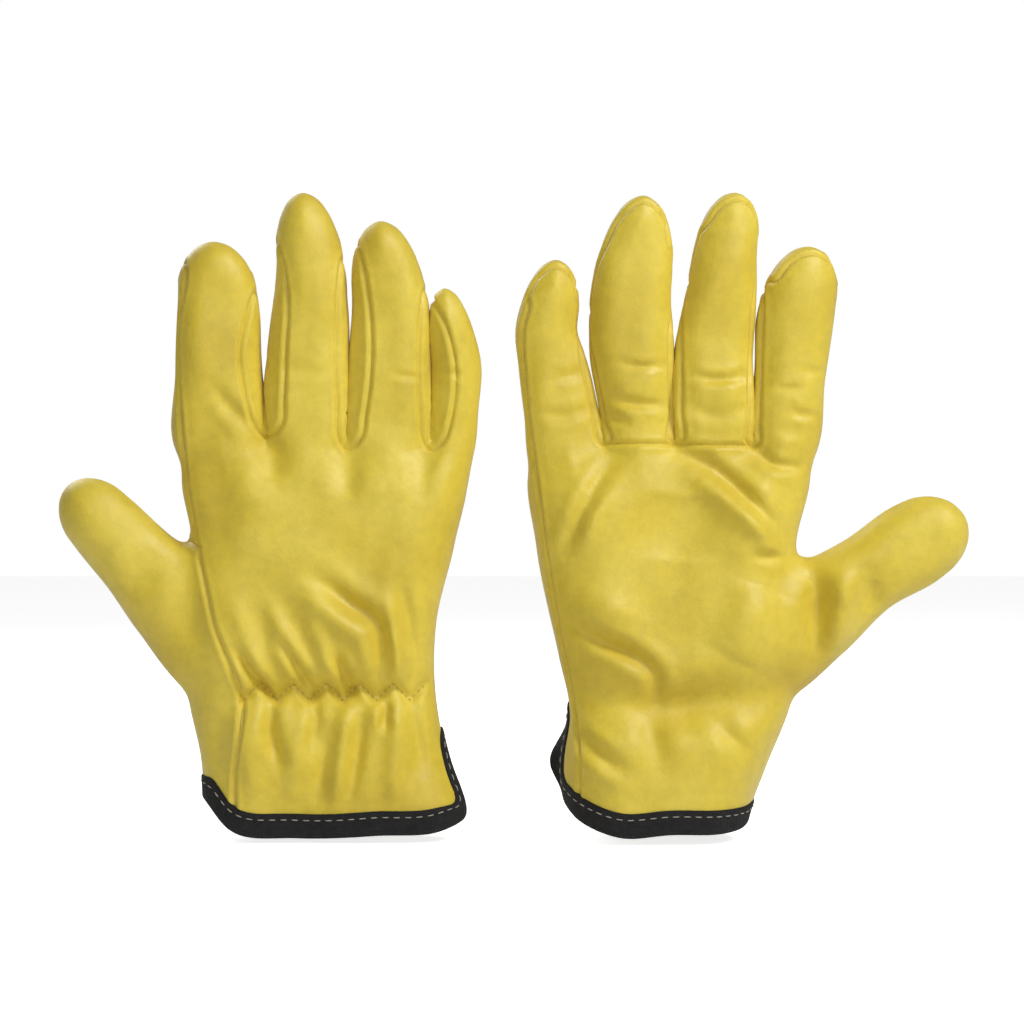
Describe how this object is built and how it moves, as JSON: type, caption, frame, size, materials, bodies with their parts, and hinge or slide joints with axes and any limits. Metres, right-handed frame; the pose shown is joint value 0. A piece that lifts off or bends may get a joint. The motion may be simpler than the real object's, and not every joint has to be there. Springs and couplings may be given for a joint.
{
  "type": "leather work gloves",
  "caption": "Smooth yellow leather work gloves with seamed fingers, an elastic wrist and a black bound cuff, one showing its back and one its palm.",
  "frame": {"origin": "centre of the floor area that the pair covers, on the plane of the rims", "axes": "+Z from the rims to the fingertips, +X from the glove that shows its back to the one that shows its palm, -Y towards the viewer"},
  "size_m": [0.353, 0.0558, 0.2504],
  "materials": {
    "leather": "smooth grain cowhide, satin, soft folds",
    "binding": "woven tape, matte black",
    "stitching": "spun thread, pale grey",
    "stitching_yellow": "spun thread, yellow",
    "elastic": "woven elastic, off-white",
    "label": "woven satin label, blank"
  },
  "bodies": {
    "first_hand": {"first_back_panel": "leather", "first_palm_panel": "leather", "first_thumb_back": "leather", "first_middle_front": "leather", "first_ring_front": "leather", "first_fourchette_index_middle": "leather", "first_fourchette_middle_ring": "leather", "first_fourchette_ring_little": "leather", "first_cuff_binding": "binding", "first_binding_thread": "stitching", "first_wrist_elastic": "elastic", "first_elastic_thread": "stitching_yellow", "first_size_label": "label"},
    "first_index": {"first_index_tip_back": "leather", "first_index_tip_front": "leather", "first_index_tip_fourchette_little_side": "leather"},
    "first_middle": {"first_middle_tip_back": "leather", "first_middle_tip_front": "leather", "first_middle_tip_fourchette_thumb_side": "leather", "first_middle_tip_fourchette_little_side": "leather"},
    "first_ring": {"first_ring_tip_back": "leather", "first_ring_tip_front": "leather", "first_ring_tip_fourchette_thumb_side": "leather", "first_ring_tip_fourchette_little_side": "leather"},
    "first_little": {"first_little_tip_back": "leather", "first_little_tip_front": "leather", "first_little_tip_fourchette_thumb_side": "leather"},
    "first_thumb": {"first_thumb_tip_back": "leather", "first_thumb_tip_front": "leather"},
    "second_hand": {"second_back_panel": "leather", "second_palm_panel": "leather", "second_thumb_back": "leather", "second_middle_front": "leather", "second_ring_front": "leather", "second_fourchette_index_middle": "leather", "second_fourchette_middle_ring": "leather", "second_fourchette_ring_little": "leather", "second_cuff_binding": "binding", "second_binding_thread": "stitching", "second_wrist_elastic": "elastic", "second_elastic_thread": "stitching_yellow", "second_size_label": "label"},
    "second_index": {"second_index_tip_back": "leather", "second_index_tip_front": "leather", "second_index_tip_fourchette_little_side": "leather"},
    "second_middle": {"second_middle_tip_back": "leather", "second_middle_tip_front": "leather", "second_middle_tip_fourchette_thumb_side": "leather", "second_middle_tip_fourchette_little_side": "leather"},
    "second_ring": {"second_ring_tip_back": "leather", "second_ring_tip_front": "leather", "second_ring_tip_fourchette_thumb_side": "leather", "second_ring_tip_fourchette_little_side": "leather"},
    "second_little": {"second_little_tip_back": "leather", "second_little_tip_front": "leather", "second_little_tip_fourchette_thumb_side": "leather"},
    "second_thumb": {"second_thumb_tip_back": "leather", "second_thumb_tip_front": "leather"}
  },
  "joints": [
    {"name": "first_index_bend", "type": "hinge", "parent": "first_hand", "child": "first_index", "pos_m": [-0.11365, 0.0105, 0.18156], "axis": [-0.9993, 0, -0.0367], "range_deg": [0, 90]},
    {"name": "first_middle_bend", "type": "hinge", "parent": "first_hand", "child": "first_middle", "pos_m": [-0.0789, 0.0105, 0.18806], "axis": [-1, 0, 0.0057], "range_deg": [0, 90]},
    {"name": "first_ring_bend", "type": "hinge", "parent": "first_hand", "child": "first_ring", "pos_m": [-0.04815, 0.01, 0.18403], "axis": [-0.9998, 0, 0.0177], "range_deg": [0, 90]},
    {"name": "first_little_bend", "type": "hinge", "parent": "first_hand", "child": "first_little", "pos_m": [-0.0228, 0.0085, 0.17459], "axis": [-0.9996, 0, 0.0278], "range_deg": [0, 90]},
    {"name": "first_thumb_bend", "type": "hinge", "parent": "first_hand", "child": "first_thumb", "pos_m": [-0.14778, 0.012, 0.11062], "axis": [-0.7385, 0, -0.6743], "range_deg": [0, 70]},
    {"name": "second_index_bend", "type": "hinge", "parent": "second_hand", "child": "second_index", "pos_m": [0.10858, -0.0105, 0.1802], "axis": [0.9942, 0, -0.1072], "range_deg": [0, 90]},
    {"name": "second_middle_bend", "type": "hinge", "parent": "second_hand", "child": "second_middle", "pos_m": [0.08019, -0.0105, 0.18797], "axis": [0.9974, 0, -0.0725], "range_deg": [0, 90]},
    {"name": "second_ring_bend", "type": "hinge", "parent": "second_hand", "child": "second_ring", "pos_m": [0.04835, -0.01, 0.18718], "axis": [0.9995, 0, 0.0321], "range_deg": [0, 90]},
    {"name": "second_little_bend", "type": "hinge", "parent": "second_hand", "child": "second_little", "pos_m": [0.01733, -0.009, 0.17823], "axis": [0.9914, 0, 0.1305], "range_deg": [0, 90]},
    {"name": "second_thumb_bend", "type": "hinge", "parent": "second_hand", "child": "second_thumb", "pos_m": [0.142, -0.01202, 0.10515], "axis": [0.565, 0, -0.8251], "range_deg": [0, 70]},
    {"name": "second_glove_lift", "type": "slide", "parent": "first_hand", "child": "second_hand", "axis": [0, 0, 1], "range_m": [0, 0.3]}
  ]
}
